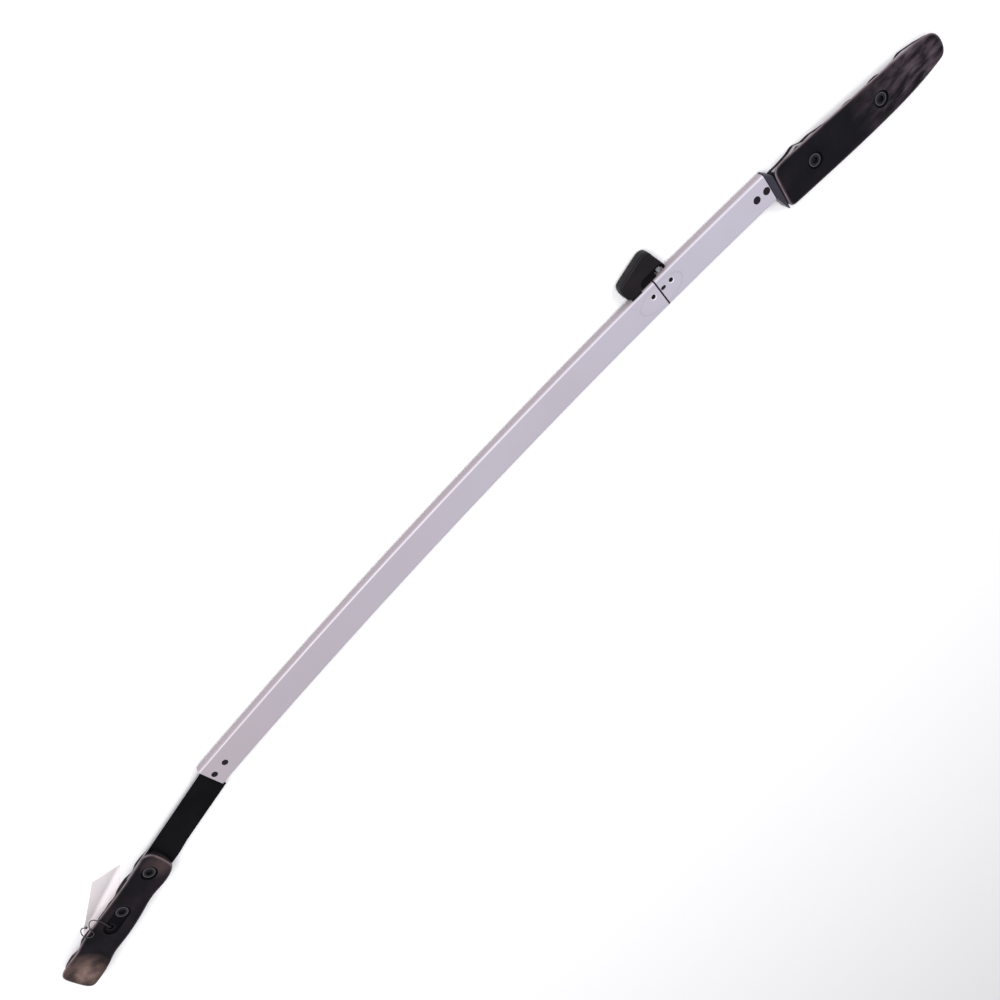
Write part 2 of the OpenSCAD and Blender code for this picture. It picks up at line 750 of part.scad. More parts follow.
function unit(v) = v / norm(v);
function route_heading(p, i) = unit(p[min(i + 1, len(p) - 1)] - p[max(i - 1, 0)]);
function ring_at(p, i) = let (
    ahead = route_heading(p, i),
    side = unit(cross(ahead, [1, 0.13, 0.07])),
    up = cross(side, ahead))
    [for (k = [0:string_sides - 1])
        p[i] + string_d / 2 * (cos(k * 360 / string_sides) * side + sin(k * 360 / string_sides) * up)];

// Round tube of flat faces along the route
module tube_along(p) {
    n = string_sides;
    rings = [for (i = [0:len(p) - 1]) each ring_at(p, i)];
    sides = [for (i = [0:len(p) - 2], k = [0:n - 1], t = [0, 1])
        t == 0 ? [i * n + k, i * n + (k + 1) % n, (i + 1) * n + k]
               : [i * n + (k + 1) % n, (i + 1) * n + (k + 1) % n, (i + 1) * n + k]];
    first = [for (k = [0:n - 1]) n - 1 - k];
    last = [for (k = [0:n - 1]) (len(p) - 1) * n + k];
    polyhedron(points = rings, faces = concat(sides, [first, last]));
}

module tag_string() color("#222222") tube_along(string_route);

module on_floor() translate([-outline_mid[0], -outline_mid[1], grip_half]) children();

on_floor() outer_tube();
on_floor() mouth_bush();
on_floor() bush_screw();
on_floor() throat_liner();
on_floor() throat_rivets();
on_floor() clamp_bracket();
on_floor() lever_pin();
on_floor() clamp_lever();
on_floor() lever_adjuster();
on_floor() adjuster_nut();
on_floor() brake_pad();
on_floor() inner_tube();
on_floor() slide_guide();
on_floor() guide_rivets();
on_floor() upper_shell();
on_floor() shell_spacer();
on_floor() seam_gasket();
on_floor() seam_set_screws();
on_floor() collar_gasket();
on_floor() upper_collar();
on_floor() collar_rivets();
on_floor() upper_tang();
on_floor() upper_front_scale();
on_floor() upper_back_scale();
on_floor() upper_grip_bolts();
on_floor() upper_grip_nuts();
on_floor() saw_blade();
on_floor() lower_front_scale();
on_floor() lower_back_scale();
on_floor() lower_grip_bolts();
on_floor() lower_grip_nuts();
on_floor() lanyard_tube();
on_floor() tag_string();
on_floor() hang_tag();
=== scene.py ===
"""Looks for the telescoping pole saw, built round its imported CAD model.

Everything is in metres in the CAD's frame: the saw lies stowed on the floor, +X runs along
the pole to the upper grip, +Y is the outside of the bow and +Z is up.
"""

import json
import math

import bmesh
import bpy
from mathutils import Matrix, Vector


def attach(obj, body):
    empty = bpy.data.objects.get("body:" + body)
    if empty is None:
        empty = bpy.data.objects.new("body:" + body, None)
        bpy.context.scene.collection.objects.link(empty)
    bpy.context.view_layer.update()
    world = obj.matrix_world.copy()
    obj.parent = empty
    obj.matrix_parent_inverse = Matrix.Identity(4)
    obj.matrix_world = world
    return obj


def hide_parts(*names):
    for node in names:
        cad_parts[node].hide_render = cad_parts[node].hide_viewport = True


MM = 0.001

# The camera stands above the outside of the bow and is rolled, so that the pole runs up to
# the right.
CAMERA_AT = (0.080, 0.570, 0.791)
CAMERA_LOOKS_AT = (0.0224, -0.0144, 0.008)
CAMERA_ROLL = 138
CAMERA_LENS_MM = 43.2

BOW_R = 5.560
POLE_T = 9 * MM
MIDDLE_Z = 8 * MM
MOUTH_AT, SEAM_AT = -328.7 * MM, 206.2 * MM
SEAM_HOLES = [SEAM_AT + along * MM for along in (-6.4, 12.7)]
SEAM_HOLE_OUT = 3 * MM

# A grip's own frame: where its front end is on the middle plane, and which way it runs
UPPER_GRIP = {"at": (353.45 * MM, -0.97 * MM), "turn": -4.5}
LOWER_GRIP = {"at": (-388.05 * MM, -8.47 * MM), "turn": 190.3}
GRIP_HALF = 8 * MM
LOWER_HALF = 7.6 * MM
UPPER_BOLTS, LOWER_BOLTS, LANYARD = (35.3, 105.8), (15, 58.5), 76

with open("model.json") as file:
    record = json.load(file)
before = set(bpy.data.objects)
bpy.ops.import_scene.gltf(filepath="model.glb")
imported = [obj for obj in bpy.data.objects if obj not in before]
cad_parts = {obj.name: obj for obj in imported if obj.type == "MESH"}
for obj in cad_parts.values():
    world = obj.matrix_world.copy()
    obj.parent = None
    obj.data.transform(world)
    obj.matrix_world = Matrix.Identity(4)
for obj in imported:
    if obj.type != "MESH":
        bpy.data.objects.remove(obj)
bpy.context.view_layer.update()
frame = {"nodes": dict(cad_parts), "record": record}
nodes = frame["nodes"]
joints = {j["name"]: j for j in frame["record"]["behaviour"]["joints"]}
BOW_CENTRE = Vector(joints["pole_extend"]["pos_m"])


# ---- Places

def on_bow(along, out=0.0, up=0.0):
    """A point of the pole: along the bow, out from its middle line and up from its middle plane."""
    turn = along / BOW_R
    reach = BOW_R + out
    return BOW_CENTRE + Vector((reach * math.sin(turn), reach * math.cos(turn), up))


def bow_frame(along):
    """The frame on the bow with +X along it and +Y out of it."""
    return Matrix.Translation(on_bow(along)) @ Matrix.Rotation(-along / BOW_R, 4, "Z")


def grip_frame(grip):
    x, y = grip["at"]
    turn = Matrix.Rotation(math.radians(grip["turn"]), 4, "Z")
    return Matrix.Translation((x, y, MIDDLE_Z)) @ turn


# ---- Mesh tools

# Turns smaller than this, in radians, are left as they are, and an arc takes at most this share
# of the sides next to it
STRAIGHT = 1e-3
ARC_SHARE = 0.49
SMOOTH_DEG = 35
# A leaning edge leans in full only this far from the middle line
LEAN_FULL_FROM = 12 * MM


def new_object(name, mesh):
    made = bpy.data.objects.new(name, mesh)
    bpy.context.scene.collection.objects.link(made)
    return made


def object_from(name, bm, smooth_deg=SMOOTH_DEG):
    bmesh.ops.recalc_face_normals(bm, faces=bm.faces[:])
    mesh = bpy.data.meshes.new(name)
    bm.to_mesh(mesh)
    bm.free()
    for face in mesh.polygons:
        face.use_smooth = True
    mesh.set_sharp_from_angle(angle=math.radians(smooth_deg))
    return new_object(name, mesh)


def filleted(points, corner_r, sharp_deg=40, steps=7):
    """A closed outline with an arc at each point: corner_r at sharp ones, the widest elsewhere."""
    out = []
    count = len(points)
    for i in range(count):
        before, here, after = (Vector(points[(i + k) % count]) for k in (-1, 0, 1))
        to_before, to_after = before - here, after - here
        turn = math.pi - to_before.angle(to_after)
        if turn < STRAIGHT:
            out.append(here)
            continue
        reach = ARC_SHARE * min(to_before.length, to_after.length)
        if turn > math.radians(sharp_deg):
            reach = min(reach, corner_r * math.tan(turn / 2))
        start, end = here + to_before.normalized() * reach, here + to_after.normalized() * reach
        for k in range(steps + 1):
            t = k / steps
            out.append(start * (1 - t) ** 2 + here * 2 * t * (1 - t) + end * t ** 2)
    return out


def spaced(outline, gap):
    """The same closed outline with its points at an even gap."""
    lengths = [0.0]
    closed = outline + outline[:1]
    for a, b in zip(closed, closed[1:]):
        lengths.append(lengths[-1] + (b - a).length)
    count = max(8, round(lengths[-1] / gap))
    out, k = [], 0
    for i in range(count):
        target = lengths[-1] * i / count
        while lengths[k + 1] < target:
            k += 1
        share = (target - lengths[k]) / max(lengths[k + 1] - lengths[k], 1e-12)
        out.append(closed[k].lerp(closed[k + 1], share))
    return out


def softened(outline, passes):
    """The same closed outline with its small corners evened out."""
    for _ in range(passes):
        outline = [(outline[i - 1] + outline[i] * 2 + outline[(i + 1) % len(outline)]) / 4
                   for i in range(len(outline))]
    return outline


def inset(outline, depth):
    """The same closed outline, drawn in by a depth."""
    count = len(outline)
    area = sum(outline[i - 1].x * outline[i].y - outline[i].x * outline[i - 1].y
               for i in range(count))
    side = 1 if area > 0 else -1
    out = []
    for i in range(count):
        ahead = (outline[(i + 1) % count] - outline[i - 1]).normalized()
        out.append(outline[i] + Vector((-ahead.y, ahead.x)) * depth * side)
    return out


def leaned(point, side, amount):
    """The point moved in by amount where it is well out on that side of Y, and less inside."""
    share = min(1.0, max(0.0, point.y * side / LEAN_FULL_FROM))
    return Vector((point.x, point.y - side * amount * share))


def slab(outline, profile, place, lean=None):
    """A solid with flat ends, from an outline drawn in at each (inset, z, wear) step of profile.

    lean is (side, amount, z_from, z_to): the edge on that side of Y leans in by amount at z_to.
    """
    bm = bmesh.new()
    wear = bm.verts.layers.float.new("wear")
    rings = []
    for depth, z, worn in profile:
        points = inset(outline, depth)
        if lean:
            side, amount, z_from, z_to = lean
            share = min(1.0, max(0.0, (z_from - abs(z)) / (z_from - z_to)))
            points = [leaned(p, side, amount * share) for p in points]
        ring = [bm.verts.new(place @ Vector((p.x, p.y, z))) for p in points]
        for vert in ring:
            vert[wear] = worn
        rings.append(ring)
    count = len(outline)
    for low, high in zip(rings, rings[1:]):
        for i in range(count):
            bm.faces.new((low[i], low[(i + 1) % count], high[(i + 1) % count], high[i]))
    bm.faces.new(rings[0])
    bm.faces.new(rings[-1])
    return bm


def cut(target, cutters, materials):
    """Takes the cutters' solids out of the target, and gives the cut faces the second material."""
    target.data.materials.clear()
    for material in materials:
        target.data.materials.append(material)
    for cutter in cutters:
        for material in materials:
            cutter.data.materials.append(material)
        for face in cutter.data.polygons:
            face.material_index = 1
        knife = target.modifiers.new("cut", "BOOLEAN")
        knife.operation, knife.solver, knife.object = "DIFFERENCE", "EXACT", cutter
        bpy.context.view_layer.update()
        shape = target.evaluated_get(bpy.context.evaluated_depsgraph_get())
        mesh = bpy.data.meshes.new_from_object(shape)
        target.modifiers.clear()
        target.data = mesh
        bpy.data.objects.remove(cutter)
    target.data.set_sharp_from_angle(angle=math.radians(SMOOTH_DEG))


def turned(name, steps, place, sides=64):
    """A solid of revolution about the place's Z through each (radius, z) step, low to high."""
    bm = bmesh.new()
    rings = []
    for radius, z in steps:
        rings.append([bm.verts.new(place @ Vector((radius * math.cos(a), radius * math.sin(a), z)))
                      for a in (2 * math.pi * k / sides for k in range(sides))])
    for low, high in zip(rings, rings[1:]):
        for i in range(sides):
            bm.faces.new((low[i], low[(i + 1) % sides], high[(i + 1) % sides], high[i]))
    bm.faces.new(rings[0])
    bm.faces.new(rings[-1])
    return object_from(name, bm)


# ---- Materials

def srgb(r, g, b):
    """A colour given as it looks on a screen, 0 to 255, as the linear colour that shaders take."""
    def line(c):
        c /= 255
        return c / 12.92 if c <= 0.04045 else ((c + 0.055) / 1.055) ** 2.4
    return (line(r), line(g), line(b), 1.0)


class Look:
    """A material and short ways to add nodes to it."""

    def __init__(self, name, roughness=0.5, metallic=0.0, specular=0.5):
        self.material = bpy.data.materials.new(name)
        self.material.use_nodes = True
        self.tree = self.material.node_tree
        self.shader = self.tree.nodes["Principled BSDF"]
        self.shader.inputs["Roughness"].default_value = roughness
        self.shader.inputs["Metallic"].default_value = metallic
        self.shader.inputs["Specular IOR Level"].default_value = specular
        self.place = self.node("ShaderNodeTexCoord").outputs["Object"]

    def node(self, kind, **settings):
        made = self.tree.nodes.new(kind)
        for key, value in settings.items():
            setattr(made, key, value)
        return made

    def link(self, source, target):
        self.tree.links.new(source, target)

    def put(self, socket, value):
        if hasattr(value, "is_linked"):
            self.link(value, socket)
        else:
            socket.default_value = value

    def math(self, operation, a, b=0.0):
        made = self.node("ShaderNodeMath", operation=operation)
        self.put(made.inputs[0], a)
        self.put(made.inputs[1], b)
        return made.outputs[0]

    def noise(self, scale, detail=3.0, stretch=(1, 1, 1), rough=0.5):
        """Noise from 0 to 1, with scale in features per metre."""
        mapping = self.node("ShaderNodeMapping")
        mapping.inputs["Scale"].default_value = stretch
        self.link(self.place, mapping.inputs["Vector"])
        made = self.node("ShaderNodeTexNoise")
        made.inputs["Scale"].default_value = scale
        made.inputs["Detail"].default_value = detail
        made.inputs["Roughness"].default_value = rough
        self.link(mapping.outputs[0], made.inputs["Vector"])
        return made.outputs["Fac"]

    def ramp(self, value, low, high, to_low=0.0, to_high=1.0):
        """The value carried from one range to another, and held at the ends."""
        made = self.node("ShaderNodeMapRange")
        self.link(value, made.inputs["Value"])
        limits = {"From Min": low, "From Max": high, "To Min": to_low, "To Max": to_high}
        for key, limit in limits.items():
            made.inputs[key].default_value = limit
        return made.outputs[0]

    def near(self, point, radius, stretch=(1, 1, 1)):
        """1 at a point, falling to 0 at a radius round it."""
        mapping = self.node("ShaderNodeMapping")
        mapping.inputs["Location"].default_value = [-p * s / radius for p, s in zip(point, stretch)]
        mapping.inputs["Scale"].default_value = [s / radius for s in stretch]
        self.link(self.place, mapping.inputs["Vector"])
        length = self.node("ShaderNodeVectorMath", operation="LENGTH")
        self.link(mapping.outputs[0], length.inputs[0])
        return self.ramp(length.outputs["Value"], 0.0, 1.0, 1.0, 0.0)

    def mix(self, share, a, b):
        """Colour a, or b where the share is 1."""
        made = self.node("ShaderNodeMix", data_type="RGBA")
        self.put(made.inputs["Factor"], share)
        self.put(made.inputs["A"], a)
        self.put(made.inputs["B"], b)
        return made.outputs["Result"]

    def colour(self, value):
        self.put(self.shader.inputs["Base Color"], value)
        return self

    def roughness(self, value):
        self.put(self.shader.inputs["Roughness"], value)
        return self

    def bump(self, height, distance, strength=1.0):
        made = self.node("ShaderNodeBump")
        made.inputs["Strength"].default_value = strength
        made.inputs["Distance"].default_value = distance
        self.link(height, made.inputs["Height"])
        self.link(made.outputs[0], self.shader.inputs["Normal"])
        return self

    def facing_up(self):
        """1 on a face that looks straight up or down, 0 on an upright one."""
        split = self.node("ShaderNodeSeparateXYZ")
        self.link(self.node("ShaderNodeTexCoord").outputs["Normal"], split.inputs[0])
        return self.math("ABSOLUTE", split.outputs["Z"])

    def along_x(self):
        split = self.node("ShaderNodeSeparateXYZ")
        self.link(self.place, split.inputs[0])
        return split.outputs["X"]

    def wear(self):
        """How worn the shape itself is, from the slab's steps."""
        made = self.node("ShaderNodeAttribute")
        made.attribute_name = "wear"
        return made.outputs["Fac"]


# The pole's rounded corners, which get a painted highlight, are where a face looks this far up; and
# the seam's tinted places
HIGHLIGHT_FACING = 0.85
SEAM_HOLE_NEAR = 5 * MM
SEAM_OVAL_R = 20 * MM


def pale_coat():
    """Pale lilac-grey powder coat, a little darker towards the lower mouth, with rubbed marks,
    painted shade on its upright faces and a painted highlight along its rounded corners.
    """
    look = Look("pale_coat", roughness=0.38, specular=0.5)
    towards_seam = look.ramp(look.along_x(), -0.33, 0.30)
    base = look.mix(towards_seam, srgb(164, 155, 163), srgb(175, 171, 184))
    cloud = look.ramp(look.noise(14, 4), 0.35, 0.7)
    base = look.mix(look.math("MULTIPLY", cloud, 0.35), base, srgb(160, 153, 161))
    scuffs = look.ramp(look.noise(55, 6, (1, 9, 9), 0.6), 0.66, 0.78)
    base = look.mix(look.math("MULTIPLY", scuffs, 0.25), base, srgb(150, 140, 146))
    facing = look.facing_up()
    # Painted shade: upright faces, such as the pole's narrow outer face, are darkened
    side = look.ramp(facing, 0.25, 0.6, 1.0, 0.0)
    base = look.mix(side, base, srgb(148, 138, 143))
    # Painted highlight: a pale band along the pole's rounded corners, where a face looks partly up
    off_highlight = look.math("ABSOLUTE", look.math("SUBTRACT", facing, HIGHLIGHT_FACING))
    corner = look.ramp(off_highlight, 0.0, 0.12, 1, 0)
    base = look.mix(corner, base, srgb(205, 196, 208))
    for along in SEAM_HOLES:
        hole = on_bow(along, SEAM_HOLE_OUT, POLE_T / 2)
        rim = look.ramp(look.near(hole, SEAM_HOLE_NEAR), 0.46, 0.50)
        base = look.mix(rim, base, srgb(206, 203, 210))
    # A darker oval line round the seam, for its faint raised oval line
    seam_oval = look.near(on_bow(SEAM_AT, 0, POLE_T / 2), SEAM_OVAL_R, (0.45, 1, 1))
    ring = look.math("SUBTRACT", look.ramp(seam_oval, 0.47, 0.5), look.ramp(seam_oval, 0.5, 0.53))
    base = look.mix(look.math("MULTIPLY", ring, 0.35), base, srgb(140, 136, 148))
    look.colour(base)
    look.roughness(look.ramp(look.noise(30, 4), 0.3, 0.7, 0.33, 0.45))
    return look.bump(look.noise(420, 2), 0.00001, 0.15).material


# Where hands have rubbed the grips: the grip, the place along and across it in millimetres, how
# far that reaches, the noise that breaks it up, where it starts and is full, and its colour
RUBBED_PLACES = [
    (UPPER_GRIP, (150, 4), GRIP_HALF, 75, (60, 7, (1, 3, 3), 0.6), (0.4, 0.75), (92, 80, 88)),
    (LOWER_GRIP, (127, 3), LOWER_HALF, 24, (70, 6), (0.3, 0.62), (138, 114, 107)),
    (LOWER_GRIP, (6, 2), LOWER_HALF, 15, (50, 5), (0.2, 0.6), (84, 68, 68)),
]


def grip_rubber():
    """Black moulded rubber, rubbed to a brown mauve on its edges and in patches."""
    look = Look("grip_rubber", roughness=0.58, specular=0.1)
    base = look.mix(look.ramp(look.noise(45, 5), 0.35, 0.7), srgb(12, 11, 15), srgb(20, 18, 24))
    blotch = look.ramp(look.noise(26, 6, rough=0.62), 0.5, 0.72)
    base = look.mix(look.math("MULTIPLY", blotch, 0.45), base, srgb(48, 39, 43))
    rubbed = look.math("MULTIPLY", look.wear(), look.ramp(look.noise(60, 5), 0.2, 0.5))
    base = look.mix(rubbed, base, srgb(124, 110, 115))
    for grip, (x, y), face_z, reach, patchy, (starts, full), colour in RUBBED_PLACES:
        centre = grip_frame(grip) @ Vector((x * MM, y * MM, face_z))
        patches = look.ramp(look.noise(*patchy), starts, full)
        share = look.math("MULTIPLY", look.near(centre, reach * MM), patches)
        base = look.mix(share, base, srgb(*colour))
    look.colour(base)
    look.roughness(look.ramp(look.noise(70, 4), 0.3, 0.7, 0.48, 0.66))
    return look.bump(look.noise(900, 4), 0.00012, 0.5).material


def plain(name, colour, tint, roughness, metallic=0.0, grain=700, depth=0.00005,
          stretch=(1, 1, 1), specular=0.5):
    """A coat, plastic or metal with a cloudy tint, uneven gloss and a fine grain."""
    look = Look(name, roughness=roughness, metallic=metallic, specular=specular)
    look.colour(look.mix(look.ramp(look.noise(40, 5), 0.3, 0.7), srgb(*colour), srgb(*tint)))
    low, high = roughness * 0.85, min(1.0, roughness * 1.15)
    look.roughness(look.ramp(look.noise(90, 4), 0.3, 0.7, low, high))
    return look.bump(look.noise(grain, 3, stretch), depth, 0.5).material


BOLT_NEAR = 6 * MM


def bolt_steel():
    """Blackened bolts, with a painted highlight round the head's rim and painted shade in the
    socket.
    """
    look = Look("bolt_steel", roughness=0.4, specular=0.3)
    base = look.mix(look.ramp(look.noise(90, 5), 0.3, 0.7), srgb(16, 15, 18), srgb(30, 28, 32))
    for grip, xs in ((UPPER_GRIP, UPPER_BOLTS), (LOWER_GRIP, LOWER_BOLTS)):
        for x in xs:
            axis = look.near(grip_frame(grip) @ Vector((x * MM, 0, 0)), BOLT_NEAR, (1, 1, 0))
            # Painted highlight: a pale ring round each head's rim
            rim = look.math("SUBTRACT", look.ramp(axis, 0.10, 0.14), look.ramp(axis, 0.22, 0.27))
            base = look.mix(look.math("MULTIPLY", rim, 0.7), base, srgb(84, 80, 88))
            # Painted shade: the hex socket is painted near black
            base = look.mix(look.ramp(axis, 0.5, 0.55), base, srgb(7, 6, 8))
    return look.colour(base).material


def blade_finish():
    """Black coat on the bar and tang, bright ground steel on the toothed blade, and pale grey
    upright edges on the bar: bare steel on the tang's edge and a painted highlight along the spine.
    """
    look = Look("blade_finish", roughness=0.5, specular=0.06)
    bright_from = on_bow(MOUTH_AT).x + 3 * MM
    bright = look.ramp(look.along_x(), bright_from, bright_from + 0.5 * MM)
    black = look.mix(look.ramp(look.noise(50, 5), 0.3, 0.7), srgb(10, 10, 11), srgb(16, 15, 17))
    steel = look.mix(look.noise(300, 4, (0.2, 1, 1)), srgb(176, 178, 182), srgb(205, 206, 210))
    # Pale grey on the black bar's upright edges: bare steel where the tang's edge shows, and a
    # painted highlight along the bar's spine
    edge = look.ramp(look.facing_up(), 0.2, 0.5, 1.0, 0.0)
    black = look.mix(edge, black, srgb(148, 147, 151))
    look.colour(look.mix(bright, black, steel))
    look.put(look.shader.inputs["Metallic"], bright)
    look.roughness(look.ramp(bright, 0, 1, 0.42, 0.28))
    return look.bump(look.noise(900, 3, (0.15, 1, 1)), 0.00003, 0.4).material


def make_materials():
    return {
        "pale": pale_coat(),
        "rubber": grip_rubber(),
        "blade": blade_finish(),
        "bolt": bolt_steel(),
        "slate": plain("slate_coat", (46, 44, 55), (60, 57, 70), 0.38, specular=0.3),
        "lever": plain("lever_plastic", (15, 13, 17), (28, 24, 28), 0.5, specular=0.14),
        "shade": plain("seat_shade", (8, 7, 9), (14, 12, 15), 0.7, specular=0.05),
        "nylon": plain("nylon", (18, 18, 20), (26, 26, 28), 0.5, specular=0.2),
        "black": plain("black_steel", (14, 13, 16), (27, 25, 29), 0.36, 0.3, specular=0.25),
        "plug": plain("plug_steel", (22, 17, 26), (34, 27, 38), 0.4, 0.2, specular=0.25),
        "gasket": plain("gasket_rubber", (22, 18, 24), (31, 26, 33), 0.7, specular=0.15),
        "zinc": plain("zinc_steel", (170, 172, 176), (200, 200, 205), 0.3, 1.0),
        "aluminium": plain("bare_aluminium", (188, 190, 194), (210, 211, 214), 0.32, 1.0, 500,
                           0.00003, (0.05, 1, 1)),
        "steel": plain("bare_steel", (150, 146, 150), (176, 172, 176), 0.38, 1.0, 500, 0.00003),
        "card": plain("card_stock", (252, 244, 246), (246, 238, 241), 0.8, 0.0, 1500, 0.00002),
        "string": plain("string_thread", (34, 32, 36), (52, 48, 54), 0.8, 0.0, 3000, 0.0001),
    }


CAD_FINISH = {
    "pale": ["outer_tube", "upper_shell"],
    "nylon": ["mouth_bush", "throat_liner", "shell_spacer", "slide_guide", "brake_pad"],
    "black": ["bush_screw", "seam_set_screws", "lever_pin", "clamp_bracket", "lanyard_tube"],
    "bolt": ["upper_grip_bolts", "upper_grip_nuts", "lower_grip_bolts", "lower_grip_nuts"],
    "plug": ["throat_rivets", "collar_rivets"],
    "gasket": ["seam_gasket", "collar_gasket"],
    "zinc": ["lever_adjuster", "adjuster_nut", "guide_rivets"],
    "aluminium": ["inner_tube"],
    "steel": ["upper_tang"],
    "slate": ["upper_collar"],
    "blade": ["saw_blade"],
}


def finish_cad(materials):
    for finish, names in CAD_FINISH.items():
        for name in names:
            mesh = nodes[name].data
            mesh.materials.clear()
            mesh.materials.append(materials[finish])


# ---- Grips

UPPER_OUTLINE = [(0, -18.7), (0.6, 14), (2, 19.5), (8, 21.3), (21, 21), (60, 20.5), (100, 19.6),
                 (138, 18.6), (156, 17), (165, 15), (170, 9.5), (171.6, 2), (171.2, -5.5),
                 (168, -10.6), (149, -14.6), (130, -17), (110, -18.4), (70, -19.4), (31, -19)]
LOWER_OUTLINE = [(1, -14.6), (-3.4, -8), (-1.4, 5), (2.5, 15.4), (11, 18.2), (21, 18.2), (34, 16),
                 (43, 16), (55, 17.5), (68, 18.2), (82, 18.2), (100, 16.8), (111, 19), (121, 19.9),
                 (138, 19.4), (140, 13.5), (139, 2.5), (137.4, -8), (135.6, -12), (131, -14.7),
                 (119.5, -15), (106, -14.2), (100, -15.4), (88, -16.4), (68, -15.2), (38, -13.8),
                 (18, -13.8)]

# The back scales' outer edges: ridges that show past the front scales, and finger grooves
UPPER_BACK_EDGE = {
    "side": 1, "groove_y": 22.5, "radius": 15, "grooves": (71.25, 99.75, 128),
    "ridges": [(-5, 13), (12, 13.2), (22, 14.4), (29, 16.8), (37, 13.4), (45, 14), (57, 11.6),
               (85.5, 11), (114, 11), (142, 12.4), (156, 10), (175, 5)]}
LOWER_BACK_EDGE = {
    "side": -1, "groove_y": -19.2, "radius": 13, "grooves": (28.5, 57.5, 86.5, 115.5),
    "ridges": [(-5, -6), (7, -6.4), (14, -7.8), (43, -8.4), (72, -6.8), (101, -9.4), (130, -8),
               (145, -6)]}


# The grip scales in millimetres. LEAN is how far the front scales' shown edges lean in, the
# depths are below a scale's face, and the cutters run from CUT_FROM to CUT_TO.
GRIP_CORNER_R, GRIP_GAP = 5.0, 0.8
LEAN = 5.2
SLEEVE_R, HEAD_SEAT_DEPTH, BORE_DEPTH = 4.1, 3.5, 1.5
TUBE_HOLE_R, RECESS_R = 3.75, 6.6
CUT_FROM, CUT_TO = 0.2, 20
STADIUM_STEPS = 24
RECESS_WEAR = 0.3


def notched(outline, edge):
    """Draws one long edge of a closed outline in to a line of ridges with round finger grooves."""
    side, ridges, radius = edge["side"], edge["ridges"], edge["radius"]
    out = []
    for p in outline:
        reach = p.y * side
        for (x0, y0), (x1, y1) in zip(ridges, ridges[1:]):
            if x0 <= p.x < x1:
                reach = min(reach, side * (y0 + (y1 - y0) * (p.x - x0) / (x1 - x0)))
        for x in edge["grooves"]:
            if abs(p.x - x) < radius:
                groove = side * edge["groove_y"] - math.sqrt(radius ** 2 - (p.x - x) ** 2)
                reach = min(reach, groove)
        out.append(Vector((p.x, side * reach)))
    return out


def scale_profile(tang_z, face_z, sign, bevel):
    """Steps of a grip scale: a straight side, a crisp chamfer, and a face that swells a little."""
    steps = [(0.5, tang_z, 0), (0.1, tang_z + 0.25, 0.1), (0.0, tang_z + 0.8, 0),
             (0.0, face_z - 1.6, 0), (0.08, face_z - 1.25, 0.35), (0.3, face_z - 0.8, 0.75),
             (0.6, face_z - 0.45, 1), (1.0, face_z - 0.2, 0.45), (1.6, face_z - 0.06, 0.1),
             (2.6, face_z, 0)]
    return [(depth * bevel * MM, sign * z * MM, worn) for depth, z, worn in steps]


def straight_hole(radius, z_from, z_to, place):
    """A round cutter along the place's Z, in millimetres."""
    return turned("cutter", [(radius * MM, z_from * MM), (radius * MM, z_to * MM)], place)


def through_hole(place, x, sign):
    """The frame of a hole at x in a grip scale, with +Z towards that scale's face."""
    return place @ Matrix.Translation((x * MM, 0, 0)) @ Matrix.Scale(sign, 4, (0, 0, 1))


def bolt_cutters(place, xs, face_z, sign, head_r, bore_r):
    """Round seats for the bolts: a chamfered counterbore, and the hole for the sleeve nut."""
    seat_z, step_z = face_z - HEAD_SEAT_DEPTH, face_z - BORE_DEPTH
    steps = [(SLEEVE_R, CUT_FROM), (SLEEVE_R, seat_z), (head_r, seat_z), (head_r, step_z),
             (bore_r, step_z), (bore_r + 0.2, face_z - 0.4), (bore_r + 0.5, face_z + 0.2),
             (bore_r + 0.5, face_z + 2)]
    profile = [(r * MM, z * MM) for r, z in steps]
    return [turned("cutter", profile, through_hole(place, x, sign)) for x in xs]


def block_cutter(place, low, high):
    """A box between two corners given in the place's own millimetres."""
    bm = bmesh.new()
    bmesh.ops.create_cube(bm, size=1.0)
    low, high = Vector(low), Vector(high)
    size = Matrix.Diagonal((*((high - low) * MM), 1))
    middle = Matrix.Translation((low + high) / 2 * MM)
    bmesh.ops.transform(bm, verts=bm.verts, matrix=place @ middle @ size)
    return object_from("cutter", bm)


def stadium_cutter(place, x_from, x_to, radius, z_from, z_to, sign):
    """A long round-ended recess between two x, a little wider where it meets the face."""
    outline = []
    for centre, first in ((x_to, -90), (x_from, 90)):
        for k in range(STADIUM_STEPS + 1):
            a = math.radians(first + 180 / STADIUM_STEPS * k)
            outline.append(Vector((centre + radius * math.cos(a), radius * math.sin(a))) * MM)
    steps = [(0, z_from), (0, z_to - 1.9), (-0.5, z_to - 1.4), (-0.5, z_to)]
    bm = slab(outline, [(d * MM, sign * z * MM, RECESS_WEAR) for d, z in steps], place)
    return object_from("cutter", bm)


